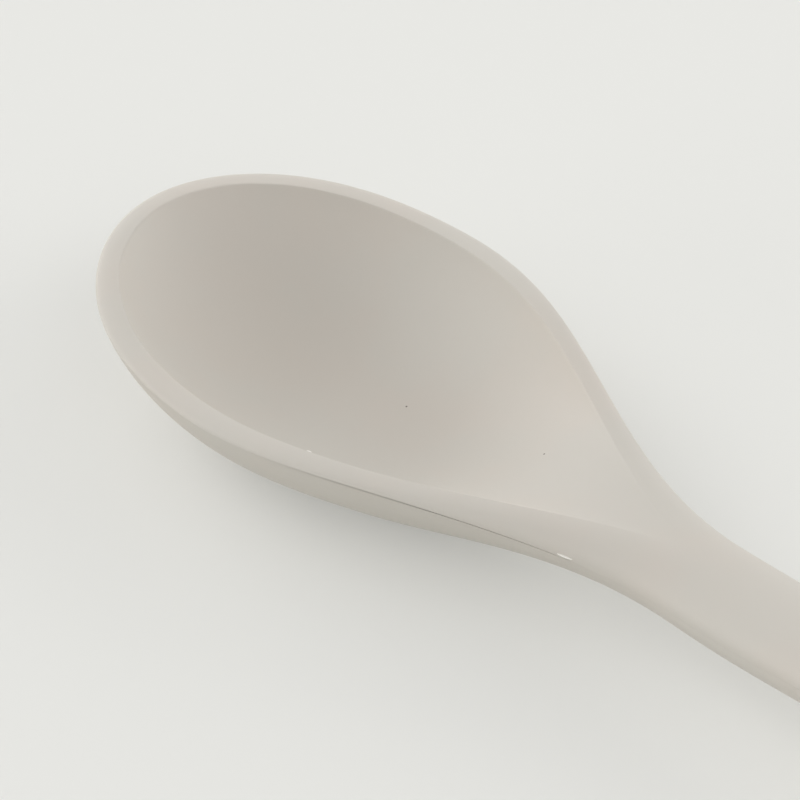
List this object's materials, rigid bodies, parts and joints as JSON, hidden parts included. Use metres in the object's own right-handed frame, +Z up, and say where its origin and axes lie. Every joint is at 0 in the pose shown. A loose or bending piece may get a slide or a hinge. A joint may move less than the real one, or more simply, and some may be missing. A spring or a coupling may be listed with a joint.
{
  "type": "silicone serving spoon",
  "caption": "Serving spoon with an egg-shaped bowl, flat rim land and arched handle with a hanging hole: a silicone jacket locked through holes in a stiff core, for serving food.",
  "frame": {"origin": "on the flat under the bowl, on the plane that the spoon rests on", "axes": "+X along the spoon from the bowl towards the end of the handle, +Z up out of the bowl's open side, +Y to the left seen along +X"},
  "size_m": [0.3, 0.062, 0.0252],
  "materials": {
    "jacket_silicone": "matte moulded silicone, warm light grey",
    "core_nylon": "natural moulded nylon, cream"
  },
  "bodies": {
    "root": {"nylon_core": "core_nylon", "upper_skin": "jacket_silicone", "lower_skin": "jacket_silicone"}
  },
  "joints": []
}
